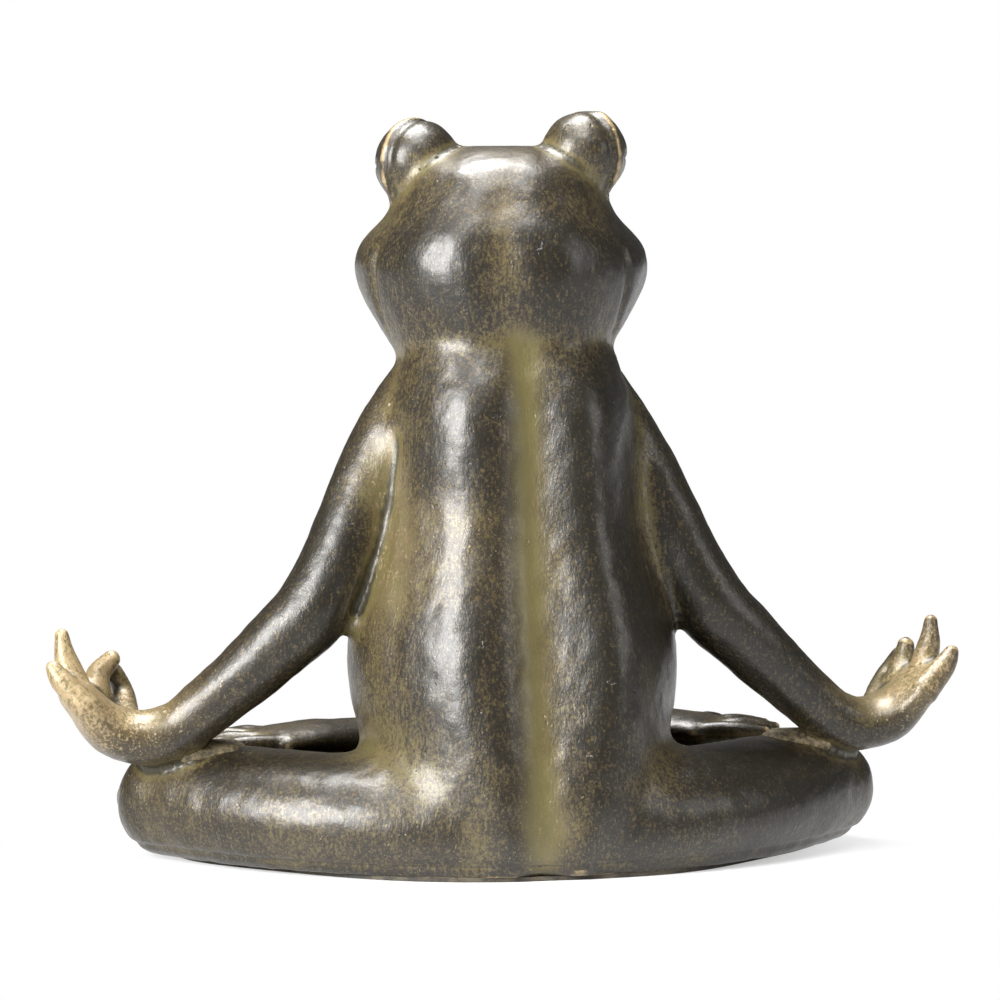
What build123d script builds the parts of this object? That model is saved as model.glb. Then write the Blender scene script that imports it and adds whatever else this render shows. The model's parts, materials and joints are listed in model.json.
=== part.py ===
"""A seated frog figurine in bronze-coloured cast resin: legs crossed, hands lying palm up on the knees.

Frame: +Z up, the origin on the ground under the middle of the figure, the frog facing -Y, its left hand
on the +X side. Lengths are millimetres.
"""
from build123d import *
import math
import os

os.makedirs("parts", exist_ok=True)

# Overall sizes
neck_height = 228.0        # ground to the seat of the head casting
hip_half_width = 74.5      # widest half width of the torso
seat_back = 108.0          # how far the seat reaches behind the middle
belly_front = 35.0         # how far the belly reaches in front of the middle
knee_reach = 153.5         # sideways place of the knee centre
knee_height = 25.5         # height of the knee centre
hip_reach = 12.0           # sideways place of the thigh's root
hip_back = 70.0            # how far behind the middle the thigh's root lies
knee_front = 10.0          # how far in front of the middle the knee centre lies
shin_front = 88.0          # how far in front of the middle the crossing shins lie
wrist_reach = 148.5        # sideways place of the wrist seam
wrist_height = 62.0        # height of the wrist seam
head_height = 94.0         # neck seat to the crown, without the eyes
cheek_half_width = 64.0    # widest half width of the head
skull_back = 60.0          # how far the back of the head reaches behind the middle
snout_front = 60.0         # how far the snout reaches in front of the middle

# Castings and fits
torso_wall = 9.0
head_wall = 8.0
plate_thickness = 2.0      # closing plate under the figure
glue_gap = 0.25            # film of adhesive round every rod and pin
cut_over = 2.0             # overrun of every cut past the face it leaves

ahead = Vector(0, 1, 0)
upward = Vector(0, 0, 1)
dome_angles = (25, 48, 68, 82)


def along(start, end, share):
    """The value that lies a share of the way from start to end."""
    return start + (end - start) * share


def tangents(route):
    """Unit directions along a route, each from the point before to the point after."""
    last = len(route) - 1
    return [(route[min(i + 1, last)] - route[max(i - 1, 0)]).normalized() for i in range(last + 1)]


def cross_section(point, way, guide, guide_radius, other_radius):
    """An ellipse square to the route, its first radius as near to the guide direction as it can lie."""
    first_axis = (guide - way * guide.dot(way)).normalized()
    return Plane(point, x_dir=first_axis, z_dir=way) * Ellipse(guide_radius, other_radius)


def dome(point, way, guide, guide_radius, other_radius, side):
    """Sections that round off one end of a limb: side is 1 at its end, -1 at its start."""
    sections = []
    for angle in dome_angles:
        shrink = math.cos(math.radians(angle))
        rise = (guide_radius + other_radius) / 2 * math.sin(math.radians(angle))
        tip = point + way * (side * rise)
        sections.append(cross_section(tip, way, guide, guide_radius * shrink, other_radius * shrink))
    return sections[::side]


def between(before, start, end, after, share):
    """The value a share of the way from start to end, on a smooth curve through all four values."""
    leaving = (end - before) / 2 * share * (1 - share) ** 2
    arriving = (after - start) / 2 * share ** 2 * (1 - share)
    return along(start, end, share ** 2 * (3 - 2 * share)) + leaving - arriving


def eased(rows, steps):
    """The rows of numbers with more rows put smoothly between them."""
    padded = [rows[0], *rows, rows[-1]]
    result = []
    for span in zip(padded, padded[1:], padded[2:], padded[3:]):
        for step in range(steps):
            result.append([between(*values, step / steps) for values in zip(*span)])
    return result + [rows[-1]]


limb_steps = 6


def limb(route, radii, guide, start_dome=False, end_dome=True, first_way=None):
    """A solid that swells and tapers along a route, each end flat or rounded."""
    rows = eased([(*point, *pair) for point, pair in zip(route, radii)], limb_steps)
    route = [Vector(*row[:3]) for row in rows]
    radii = [row[3:] for row in rows]
    ways = tangents(route)
    if first_way is not None:
        ways[0] = first_way
    sections = [cross_section(p, w, guide, *r) for p, w, r in zip(route, ways, radii)]
    if start_dome:
        sections = dome(route[0], ways[0], guide, *radii[0], -1) + sections
    if end_dome:
        sections = sections + dome(route[-1], ways[-1], guide, *radii[-1], 1)
    return loft(sections)


def ring_section(height, half_width, back, front, outline_shares, groove):
    """A level outline: shares of the half width and of the reach each way, with a groove down the back."""
    middle = (back + front) / 2
    half_depth = (back - front) / 2
    right = [(half_width * x, middle + half_depth * y) for x, y in outline_shares]
    right[0] = (0, back - groove)
    left = [(-x, y) for x, y in right[-2:0:-1]]
    return make_face(Spline([Vector(x, y, height) for x, y in right + left], periodic=True))


def mirrored(shape):
    """The same form for the other side of the figure."""
    return mirror(shape, about=Plane.YZ)


def level_cut(shape, height):
    """The shape without what reaches below a height."""
    reach = knee_reach + seat_back + shin_front
    return shape - Pos(0, 0, height - reach / 2) * Box(reach * 2, reach * 2, reach)


def rod(start, end, radius):
    """A straight round rod between two points."""
    start = Vector(*start)
    run = Vector(*end) - start
    return extrude(Plane(start, z_dir=run) * Circle(radius), run.length)


# Torso
spine_groove = 7.0
torso_outline_shares = [(0, 1), (0.36, 1), (0.80, 0.60), (1, 0), (0.82, -0.60), (0.42, -0.93), (0, -1)]
# height, half width, reach behind, reach in front, depth of the spine groove
torso_level_shares = [
    (0.00, 0.60, 0.960, 2.00, 0.1),
    (0.07, 0.70, 0.990, 1.95, 0.3),
    (0.15, 0.82, 1.000, 1.45, 0.7),
    (0.26, 0.94, 0.965, 0.98, 1.0),
    (0.36, 1.00, 0.910, 0.95, 1.1),
    (0.46, 0.98, 0.855, 1.00, 1.1),
    (0.59, 0.86, 0.775, 0.86, 1.0),
    (0.71, 0.78, 0.715, 0.62, 1.0),
    (0.80, 0.75, 0.690, 0.50, 1.0),
    (0.88, 0.73, 0.665, 0.42, 0.8),
    (0.95, 0.69, 0.620, 0.38, 0.5),
    (1.00, 0.65, 0.560, 0.36, 0.2),
]
cavity_top_share = 0.80


def torso_ring(level_share, inset, drop=0.0):
    """One level of the torso, drawn in by an inset for its hollow, or lowered by a drop."""
    height, width, back, front, groove = level_share
    return ring_section(
        along(plate_thickness, neck_height, height) - drop,
        hip_half_width * width - inset,
        seat_back * back - inset,
        inset - belly_front * front,
        torso_outline_shares,
        spine_groove * groove,
    )


def torso_form():
    """The outer form of the torso."""
    return loft([torso_ring(level, 0) for level in torso_level_shares])


def torso_hollow():
    """The hollow of the torso casting, open at the bottom."""
    levels = [level for level in torso_level_shares if level[0] <= cavity_top_share]
    lowest = torso_ring(levels[0], torso_wall, cut_over)
    return loft([lowest] + [torso_ring(level, torso_wall) for level in levels])


# Arms
arm_radius = 16.6
shoulder_reach = 40.0      # sideways place of the shoulder centre
shoulder_height = 211.0
elbow_back = 31.0          # how far behind the middle the elbow lies
# sideways from shoulder to wrist, back in elbow reaches, up from wrist to shoulder, thickness
arm_shares = [
    (0.000, 0.35, 1.000, 0.97),
    (0.093, 0.40, 0.886, 1.06),
    (0.201, 0.55, 0.752, 1.02),
    (0.287, 0.73, 0.614, 1.02),
    (0.381, 0.91, 0.463, 1.03),
    (0.486, 1.00, 0.342, 1.03),
    (0.607, 0.97, 0.258, 0.96),
    (0.729, 0.88, 0.172, 0.88),
    (0.869, 0.74, 0.083, 0.81),
    (1.000, 0.62, 0.000, 0.77),
]
elbow_index = 5
arm_route = [
    (
        along(shoulder_reach, wrist_reach, out),
        elbow_back * back,
        along(wrist_height, shoulder_height, up),
    )
    for out, back, up, _ in arm_shares
]
arm_radii = [(arm_radius * size, arm_radius * size) for *_, size in arm_shares]
wrist_point = Vector(*arm_route[-1])
wrist_way = (wrist_point - Vector(*arm_route[-2])).normalized()
wrist_radius = arm_radii[-1][0]


def arm_form():
    """The outer form of the left arm, from a rounded shoulder to the flat wrist seam."""
    return limb(arm_route, arm_radii, ahead, start_dome=True, end_dome=False)


# Hands
palm_length = 45.0
palm_half_width = 23.0
palm_half_thickness = 11.5
finger_radius = 6.6
# sideways, back and up from the wrist, in palm lengths, then half width and half thickness
palm_shares = [
    (0.35, -0.11, -0.11, 0.72, 1.08),
    (0.70, -0.18, -0.03, 0.88, 0.98),
    (0.95, -0.20, 0.22, 1.00, 0.76),
]
# root, knuckle and tip of each finger in palm lengths from the wrist, then their thicknesses
near_finger_shares = [(0.98, 0.16, 0.24), (1.20, 0.08, 0.48), (1.29, 0.04, 0.61), (1.00, 0.80, 0.56)]
long_finger_shares = [(0.97, -0.18, 0.24), (1.12, -0.26, 0.62), (1.17, -0.33, 0.90), (1.05, 0.85, 0.50)]
left_fore_shares = [(0.80, -0.54, 0.22), (0.78, -0.66, 0.46), (0.64, -0.68, 0.62), (1.00, 0.85, 0.62)]
right_fore_shares = [(0.86, -0.54, 0.22), (0.96, -0.66, 0.46), (0.99, -0.68, 0.62), (1.00, 0.85, 0.62)]
left_thumb_shares = [(0.52, -0.48, 0.06), (0.50, -0.84, 0.24), (0.60, -0.86, 0.48), (0.95, 0.80, 0.62)]
right_thumb_shares = [(0.62, -0.48, 0.06), (0.84, -0.92, 0.26), (1.00, -0.94, 0.50), (0.95, 0.80, 0.62)]


def hand_point(out, back, up):
    """A point of the left hand, given in palm lengths from the wrist seam."""
    return wrist_point + Vector(out, back, up) * palm_length


def digit(shares, place, radius):
    """A finger or toe that tapers from its buried root to its rounded tip."""
    *points, sizes = shares
    radii = [(radius * size, radius * size) for size in sizes]
    return limb([place(*point) for point in points], radii, ahead, start_dome=True)


def hand_form(fore_shares, thumb_shares):
    """A left hand lying palm up, its fingers raised, cut off flat at the wrist seam."""
    route = [wrist_point - wrist_way * wrist_radius, wrist_point]
    route += [hand_point(out, back, up) for out, back, up, _, _ in palm_shares]
    radii = [(wrist_radius, wrist_radius)] * 2
    radii += [(palm_half_width * wide, palm_half_thickness * thick) for *_, wide, thick in palm_shares]
    form = limb(route, radii, ahead, first_way=wrist_way)
    digit_shares = [near_finger_shares, long_finger_shares, fore_shares, thumb_shares]
    form = form.fuse(*[digit(shares, hand_point, finger_radius) for shares in digit_shares])
    sleeve = Box(wrist_reach, wrist_reach, wrist_reach, align=(Align.CENTER, Align.CENTER, Align.MAX))
    return form - Plane(wrist_point + wrist_way * glue_gap, z_dir=wrist_way) * sleeve


# Legs
thigh_height = 31.0        # half height of the thigh at the hip
thigh_half_width = 37.0    # half width of the thigh at its fullest
shin_radius = 23.0
# sideways from hip to knee, back to knee, height from the hip's share of the knee height, then thickness
hip_lift_share = 0.75
thigh_shares = [
    (0.00, 0.00, 0.00, 1.00, 0.90),
    (0.20, 0.06, 0.10, 1.00, 0.95),
    (0.40, 0.22, 0.25, 0.98, 1.00),
    (0.61, 0.46, 0.50, 0.95, 1.00),
    (0.82, 0.74, 0.85, 0.90, 0.88),
    (0.97, 0.95, 1.00, 0.83, 0.72),
]
# sideways in knee reaches, forward in shin reaches, height in knee heights, then thickness up and across
front_shin_shares = [
    (0.94, 0.25, 0.96, 1.06, 1.06),
    (0.72, 0.50, 0.90, 1.04, 1.30),
    (0.46, 0.76, 0.90, 0.92, 1.10),
    (0.21, 0.93, 1.02, 0.78, 0.84),
    (0.00, 1.00, 1.30, 0.66, 0.70),
    (-0.18, 0.96, 1.62, 0.58, 0.61),
    (-0.29, 0.88, 1.82, 0.54, 0.57),
]
back_shin_shares = [
    (0.94, 0.25, 0.96, 1.06, 1.06),
    (0.72, 0.50, 0.90, 1.04, 1.30),
    (0.46, 0.72, 0.88, 0.92, 1.10),
    (0.21, 0.82, 0.92, 0.78, 0.84),
    (0.00, 0.82, 1.18, 0.66, 0.70),
    (-0.16, 0.76, 1.54, 0.58, 0.61),
    (-0.27, 0.67, 1.78, 0.54, 0.57),
]


def shin_point(out, front, up):
    """A point of the left leg's shin or foot."""
    return Vector(knee_reach * out, -shin_front * front, knee_height * up)


def thigh_form():
    """The left thigh, from inside the hip to the rounded knee."""
    route = []
    radii = []
    for out, front, up, tall, wide in thigh_shares:
        height = knee_height * along(hip_lift_share, 1, up)
        route.append((along(hip_reach, knee_reach, out), along(hip_back, -knee_front, front), height))
        radii.append((thigh_height * tall, thigh_half_width * wide))
    return limb(route, radii, upward)


def shin_form(shin_shares):
    """The left shin, from the rounded knee to the flat ankle seam."""
    route = [shin_point(out, front, up) for out, front, up, _, _ in shin_shares]
    radii = [(shin_radius * tall, shin_radius * wide) for *_, tall, wide in shin_shares]
    return limb(route, radii, upward, start_dome=True, end_dome=False)


def leg_form(shin_shares):
    """The outer form of a left leg with its flat underside."""
    return level_cut(thigh_form() + shin_form(shin_shares), plate_thickness)


# Feet
foot_length = 62.0         # ankle seam to the roots of the toes
foot_thickness = 8.0
foot_half_width = 21.0
toe_radius = 4.4
foot_seat_height = 44.0    # the flat on the leg that carries the foot
foot_room_reach = 33.0     # sideways place where that flat begins
foot_room_front = 17.0     # how far in front of the middle that flat begins
# onward from the ankle, back, up, in foot lengths, then half thickness and half width
foot_shares = [
    (0.30, 0.15, 0.02, 1.25, 0.74),
    (0.64, 0.33, 0.05, 1.05, 0.90),
    (0.92, 0.47, 0.04, 0.95, 1.00),
]
toe_shares = [
    [(0.86, 0.69, 0.05), (1.14, 0.77, 0.06), (1.38, 0.80, 0.045), (0.85, 0.90, 0.55)],
    [(0.94, 0.54, 0.05), (1.26, 0.55, 0.06), (1.52, 0.53, 0.045), (0.85, 0.95, 0.55)],
    [(0.94, 0.38, 0.05), (1.26, 0.32, 0.06), (1.50, 0.27, 0.045), (0.85, 0.95, 0.55)],
    [(0.86, 0.23, 0.05), (1.08, 0.11, 0.06), (1.24, 0.02, 0.045), (0.85, 0.95, 0.60)],
]
left_foot_slant_share = 0.0    # how far each foot swings forward per foot length
right_foot_slant_share = 0.15


def foot_point(shin_shares, slant, onward, back, up):
    """A point of the left foot, given in foot lengths from the ankle seam."""
    return shin_point(*shin_shares[-1][:3]) + Vector(-onward, back - slant * onward, up) * foot_length


def foot_form(shin_shares, slant):
    """The left foot, which lies across the right leg."""
    def place(onward, back, up):
        return foot_point(shin_shares, slant, onward, back, up)

    *_, tall, wide = shin_shares[-1]
    ankle = place(0, 0, 0)
    way = (ankle - shin_point(*shin_shares[-2][:3])).normalized()
    route = [ankle] + [place(*share[:3]) for share in foot_shares]
    radii = [(shin_radius * tall, shin_radius * wide)]
    radii += [(foot_thickness * thick, foot_half_width * half) for *_, thick, half in foot_shares]
    form = limb(route, radii, upward, first_way=way)
    form = form.fuse(*[digit(shares, place, toe_radius) for shares in toe_shares])
    return level_cut(form, foot_seat_height)


def foot_room():
    """The space above the seat on the left leg that the right foot lies in."""
    reach = knee_reach + shin_front
    room = Box(reach, reach, reach, align=(Align.MIN, Align.MAX, Align.MIN))
    return Pos(foot_room_reach, -foot_room_front, foot_seat_height) * room


# Head
head_turn = 10.0           # degrees to its right
eye_radius = 19.5
eye_reach = 37.8           # sideways place of the eye centre
eye_back = 2.0
eye_drop = 7.5             # left eye's centre below the crown
right_eye_lift = 4.0       # how much higher the right eye sits
head_outline_shares = [(0, 1), (0.42, 0.92), (0.80, 0.58), (1, 0), (0.88, -0.58), (0.52, -0.92), (0, -1)]
# height, half width, reach behind, reach in front
head_level_shares = [
    (0.00, 0.73, 0.90, 0.44),
    (0.08, 0.81, 0.97, 0.64),
    (0.20, 0.91, 1.00, 0.86),
    (0.36, 1.00, 1.00, 0.98),
    (0.48, 1.00, 0.98, 1.00),
    (0.60, 0.89, 0.94, 0.93),
    (0.72, 0.77, 0.86, 0.79),
    (0.84, 0.68, 0.76, 0.62),
    (0.93, 0.54, 0.60, 0.43),
    (0.985, 0.34, 0.38, 0.24),
    (1.00, 0.16, 0.18, 0.09),
]
hollow_span_shares = (0.30, 0.90)


def head_ring(level_share, inset):
    """One level of the head, drawn in by an inset for its hollow."""
    height, width, back, front = level_share
    return ring_section(
        head_height * height,
        cheek_half_width * width - inset,
        skull_back * back - inset,
        inset - snout_front * front,
        head_outline_shares,
        0,
    )


def set_on_neck(shape):
    """The head's own form turned and set on the neck."""
    return Pos(0, 0, neck_height) * Rot(0, 0, -head_turn) * shape


def head_form():
    """The outer form of the head with both closed eyes."""
    form = loft([head_ring(level, 0) for level in head_level_shares])
    for side, lift in ((1, 0), (-1, right_eye_lift)):
        form += Pos(side * eye_reach, eye_back, head_height - eye_drop + lift) * Sphere(eye_radius)
    return set_on_neck(form)


def head_hollow():
    """The closed hollow of the head casting."""
    lowest, highest = hollow_span_shares
    levels = [level for level in head_level_shares if lowest <= level[0] <= highest]
    return set_on_neck(loft([head_ring(level, head_wall) for level in levels]))


# Rods and pins
dowel_radius = 6.0
dowel_half_length = 18.0
wire_radius = 2.0
wire_bend = 30.0
wire_palm_share = (0.50, -0.15, -0.06)
hip_pin_radius = 4.0
hip_pin_height = 30.0
hip_pin_span_shares = (0.50, 1.08)     # start and end in hip half widths
hip_pin_back_shares = (0.15, 0.58)     # in seat reaches
foot_pin_radius = 2.0
foot_pin_length = 20.0
neck_back = seat_back * torso_level_shares[-1][2]
neck_front = belly_front * torso_level_shares[-1][3]
dowel_back = (neck_back - neck_front) / 2


def neck_dowel(spare=0.0):
    """The rod between torso and head, or with some spare the hole for it."""
    half = dowel_half_length + spare
    start = (0, dowel_back, neck_height - half)
    return rod(start, (0, dowel_back, neck_height + half), dowel_radius + spare)


def arm_wire(spare=0.0):
    """The armature of the left arm: shoulder, elbow, wrist and palm, or the hole for it."""
    palm = hand_point(*wire_palm_share)
    start = Vector(*arm_route[0])
    elbow = Vector(*arm_route[elbow_index])
    start -= (elbow - start).normalized() * spare
    palm += (palm - wrist_point).normalized() * spare
    path = FilletPolyline(start, elbow, wrist_point, palm, radius=[wire_bend, wire_bend])
    return sweep(Plane(start, z_dir=elbow - start) * Circle(wire_radius + spare), path)


def hip_pins(spare=0.0):
    """The left pair of pins between torso and thigh, or the holes for them."""
    start, end = [hip_half_width * share for share in hip_pin_span_shares]
    pins = []
    for share in hip_pin_back_shares:
        back = seat_back * share
        pins.append(rod((start - spare, back, hip_pin_height), (end + spare, back, hip_pin_height),
                        hip_pin_radius + spare))
    return pins


def foot_pin(shin_shares, slant, spare=0.0):
    """The upright pin under the left foot, or the hole for it."""
    top = foot_point(shin_shares, slant, *foot_shares[1][:3]) + upward * spare
    return rod(top, top - upward * (foot_pin_length + 2 * spare), foot_pin_radius + spare)


# Base
bond_length = 24.0
bond_half_width = 10.5
bond_back = 14.0           # how far behind the middle the bead lies
bond_half_height = 6.0
bond_height_share = 0.66   # from the knee's centre up to the wrist
bond_reach_shares = (0.1, 0.5, 0.9)
# sideways in knee reaches, then back in seat reaches or forward in shin reaches
plate_outline_shares = [
    (0, 0.93), (0.44, 0.79), (0.74, 0.42), (0.96, -0.06),
    (0.95, -0.26), (0.72, -0.64), (0.36, -0.92), (0, -1),
]


def wrist_bond():
    """The bead of filler under the left wrist, before the castings are cut out of it."""
    height = along(knee_height, wrist_height, bond_height_share)
    route = [(wrist_reach - bond_length * share, bond_back, height) for share in bond_reach_shares]
    return limb(route, [(bond_half_height, bond_half_width)] * len(route), upward, start_dome=True)


def base_plate():
    """The thin plate that closes the underside and rests on the ground."""
    right = [(knee_reach * x, (seat_back if y > 0 else shin_front) * y) for x, y in plate_outline_shares]
    left = [(-x, y) for x, y in right[-2:0:-1]]
    outline = Spline([Vector(x, y, 0) for x, y in right + left], periodic=True)
    return extrude(make_face(outline), plate_thickness)


def cut(shape, *tools):
    """The shape without any of the tools, and without loose slivers that a cut leaves."""
    for tool in tools:
        shape = shape - tool
    return max(shape.solids(), key=lambda solid: solid.volume)


def build():
    """Every piece of the figurine, by name."""
    torso = torso_form()
    left_leg = cut(leg_form(front_shin_shares), torso, foot_room())
    right_leg = cut(mirrored(leg_form(back_shin_shares)), torso, left_leg, mirrored(foot_room()))
    left_arm = cut(arm_form(), torso, left_leg)
    right_arm = cut(mirrored(arm_form()), torso, right_leg)
    left_hand = cut(hand_form(left_fore_shares, left_thumb_shares), left_leg)
    right_hand = cut(mirrored(hand_form(right_fore_shares, right_thumb_shares)), right_leg)
    left_foot = cut(foot_form(front_shin_shares, left_foot_slant_share), left_leg)
    right_foot = cut(mirrored(foot_form(back_shin_shares, right_foot_slant_share)), right_leg)
    left_wire_hole = arm_wire(glue_gap)
    right_wire_hole = mirrored(left_wire_hole)
    left_hip_holes = hip_pins(glue_gap)
    right_hip_holes = [mirrored(hole) for hole in left_hip_holes]
    left_foot_hole = foot_pin(front_shin_shares, left_foot_slant_share, glue_gap)
    right_foot_hole = mirrored(foot_pin(back_shin_shares, right_foot_slant_share, glue_gap))
    neck_hole = neck_dowel(glue_gap)
    foot_holes = (left_foot_hole, right_foot_hole)
    return {
        "head_shell": cut(head_form(), head_hollow(), neck_hole),
        "torso_shell": cut(torso, torso_hollow(), neck_hole, left_wire_hole, right_wire_hole,
                           *left_hip_holes, *right_hip_holes),
        "left_arm": cut(left_arm, left_wire_hole),
        "right_arm": cut(right_arm, right_wire_hole),
        "left_hand": cut(left_hand, left_wire_hole),
        "right_hand": cut(right_hand, right_wire_hole),
        "left_leg": cut(left_leg, *left_hip_holes, *foot_holes),
        "right_leg": cut(right_leg, *right_hip_holes, *foot_holes),
        "left_foot": cut(left_foot, left_foot_hole),
        "right_foot": cut(right_foot, right_foot_hole),
        "left_wrist_bond": cut(wrist_bond(), left_leg, left_arm, left_hand),
        "right_wrist_bond": cut(mirrored(wrist_bond()), right_leg, right_arm, right_hand),
        "neck_dowel": neck_dowel(),
        "left_arm_wire": arm_wire(),
        "right_arm_wire": mirrored(arm_wire()),
        "hip_pins": Compound(children=hip_pins() + [mirrored(pin) for pin in hip_pins()]),
        "foot_pins": Compound(children=[foot_pin(front_shin_shares, left_foot_slant_share),
                                        mirrored(foot_pin(back_shin_shares, right_foot_slant_share))]),
        "base_plate": base_plate(),
    }


for name, piece in build().items():
    export_step(piece, f"parts/{name}.step")
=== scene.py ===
import bpy
import json
import math
import numpy as np
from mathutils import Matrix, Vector
from mathutils.bvhtree import BVHTree

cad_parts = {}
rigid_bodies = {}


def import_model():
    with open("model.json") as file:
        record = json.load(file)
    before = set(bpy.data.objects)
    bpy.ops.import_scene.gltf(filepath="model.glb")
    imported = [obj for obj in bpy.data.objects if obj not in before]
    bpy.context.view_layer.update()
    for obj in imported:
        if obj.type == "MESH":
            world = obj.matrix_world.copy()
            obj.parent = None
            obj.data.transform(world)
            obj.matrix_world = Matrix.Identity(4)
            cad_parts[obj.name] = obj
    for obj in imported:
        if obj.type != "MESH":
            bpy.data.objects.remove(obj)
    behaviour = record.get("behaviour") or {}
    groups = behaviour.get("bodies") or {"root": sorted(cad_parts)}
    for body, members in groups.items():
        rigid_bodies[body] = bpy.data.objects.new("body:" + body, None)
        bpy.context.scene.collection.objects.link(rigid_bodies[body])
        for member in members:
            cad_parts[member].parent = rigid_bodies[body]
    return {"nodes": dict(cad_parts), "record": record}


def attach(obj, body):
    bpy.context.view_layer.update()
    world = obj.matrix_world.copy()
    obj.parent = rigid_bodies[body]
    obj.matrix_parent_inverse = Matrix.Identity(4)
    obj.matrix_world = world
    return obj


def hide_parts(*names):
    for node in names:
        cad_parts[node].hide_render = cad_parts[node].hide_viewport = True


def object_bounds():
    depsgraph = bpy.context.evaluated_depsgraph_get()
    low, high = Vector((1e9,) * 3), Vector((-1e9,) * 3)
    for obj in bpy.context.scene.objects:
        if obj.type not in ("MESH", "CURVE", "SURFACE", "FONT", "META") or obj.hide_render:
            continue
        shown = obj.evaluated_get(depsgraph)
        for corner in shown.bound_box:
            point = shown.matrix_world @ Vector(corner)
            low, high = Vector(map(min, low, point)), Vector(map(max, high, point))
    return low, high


bpy.ops.object.select_all(action="SELECT")
bpy.ops.object.delete()
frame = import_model()
cadLow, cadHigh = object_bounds()
nodes = frame["nodes"]
print("frame loaded,", len(nodes), "nodes")

# everything is in metres, +Z up, the frog faces -Y and its left hand is on +X
mergeGap = 1e-6             # points of a CAD node nearer than this are one point
leastWeight = 0.004         # points weighted less than this are not smoothed
normalTurns = 8             # smoothing turns between two readings of the normals


def selectOnly(obj):
    bpy.ops.object.select_all(action="DESELECT")
    obj.select_set(True)
    bpy.context.view_layer.objects.active = obj


def copyNode(nodeName, newName):
    # a merged copy of a CAD node, free of the frame
    mesh = nodes[nodeName].data.copy()
    obj = bpy.data.objects.new(newName, mesh)
    bpy.context.scene.collection.objects.link(obj)
    selectOnly(obj)
    bpy.ops.object.mode_set(mode="EDIT")
    bpy.ops.mesh.select_all(action="SELECT")
    bpy.ops.mesh.remove_doubles(threshold=mergeGap)
    bpy.ops.object.mode_set(mode="OBJECT")
    return obj


def keepLargestPart(obj):
    # drops the inner walls that a remesh leaves inside a hollow
    count = len(obj.data.vertices)
    edges = np.zeros(len(obj.data.edges) * 2, np.int64)
    obj.data.edges.foreach_get("vertices", edges)
    edges = edges.reshape(-1, 2)
    label = np.arange(count)
    while True:
        lowest = label.copy()
        np.minimum.at(lowest, edges[:, 0], label[edges[:, 1]])
        np.minimum.at(lowest, edges[:, 1], label[edges[:, 0]])
        lowest = lowest[lowest]
        if (lowest == label).all():
            break
        label = lowest
    names, sizes = np.unique(label, return_counts=True)
    loose = label != names[sizes.argmax()]
    if loose.any():
        selectOnly(obj)
        bpy.context.tool_settings.mesh_select_mode = (True, False, False)
        obj.data.polygons.foreach_set("select", np.zeros(len(obj.data.polygons), bool))
        obj.data.edges.foreach_set("select", np.zeros(len(obj.data.edges), bool))
        obj.data.vertices.foreach_set("select", loose)
        bpy.ops.object.mode_set(mode="EDIT")
        bpy.ops.mesh.delete(type="VERT")
        bpy.ops.object.mode_set(mode="OBJECT")


class Clay:
    # the skin's points as arrays, for sculpting by hand moves
    def __init__(self, obj):
        self.obj = obj
        mesh = obj.data
        count = len(mesh.vertices)
        flat = np.zeros(count * 3, np.float32)
        mesh.vertices.foreach_get("co", flat)
        self.points = flat.reshape(-1, 3).astype(float)
        ends = np.zeros(len(mesh.edges) * 2, np.int64)
        mesh.edges.foreach_get("vertices", ends)
        ends = ends.reshape(-1, 2)
        self.start = np.concatenate([ends[:, 0], ends[:, 1]])
        self.end = np.concatenate([ends[:, 1], ends[:, 0]])
        self.friends = np.maximum(np.bincount(self.start, minlength=count), 1)[:, None]

    def store(self):
        self.obj.data.vertices.foreach_set("co", self.points.astype(np.float32).ravel())
        self.obj.data.update()

    def normals(self):
        self.store()
        flat = np.zeros(len(self.points) * 3, np.float32)
        self.obj.data.vertices.foreach_get("normal", flat)
        return flat.reshape(-1, 3).astype(float)

    def smooth(self, turns, weight=1.0, fillOnly=False, step=0.6):
        # draws the weighted points towards their neighbours; fillOnly never draws a point inwards
        weight = np.broadcast_to(weight, len(self.points))
        moving = np.nonzero(weight > leastWeight)[0]
        index = np.full(len(self.points), -1)
        index[moving] = np.arange(len(moving))
        used = index[self.start] >= 0
        start, end = index[self.start[used]], self.end[used]
        friends = self.friends[moving]
        share = weight[moving][:, None] * step
        for turn in range(turns):
            if fillOnly and turn % normalTurns == 0:
                normals = self.normals()[moving]
            totals = [np.bincount(start, self.points[end, axis], len(moving)) for axis in range(3)]
            move = np.stack(totals, axis=1) / friends - self.points[moving]
            if fillOnly:
                outward = (move * normals).sum(1, keepdims=True)
                move = np.where(outward > 0, move, move - normals * outward)
            self.points[moving] += move * share

    def near(self, spot, radii):
        # 1 at the spot, fading to nothing over the radii
        away = (self.points - np.array(spot)) / np.array(radii)
        return np.exp(-(away ** 2).sum(1))

    def nearLine(self, line, width):
        # 1 on a line of spots, fading to nothing over the width
        line = np.array(line, float)
        best = np.full(len(self.points), np.inf)
        for a, b in zip(line, line[1:]):
            run = b - a
            share = np.clip(((self.points - a) @ run) / (run @ run), 0, 1)
            gap = self.points - (a + share[:, None] * run)
            best = np.minimum(best, (gap ** 2).sum(1))
        return np.exp(-best / width ** 2)

    def raiseBy(self, amount):
        self.points = self.points + self.normals() * np.asarray(amount)[:, None]

    def pushUp(self, spot, radii, height):
        self.raiseBy(self.near(spot, radii) * height)

    def pressLine(self, line, width, depth):
        self.raiseBy(-self.nearLine(line, width) * depth)


def smoothStep(values, low, high):
    share = np.clip((values - low) / (high - low), 0, 1)
    return share * share * (3 - 2 * share)


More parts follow.
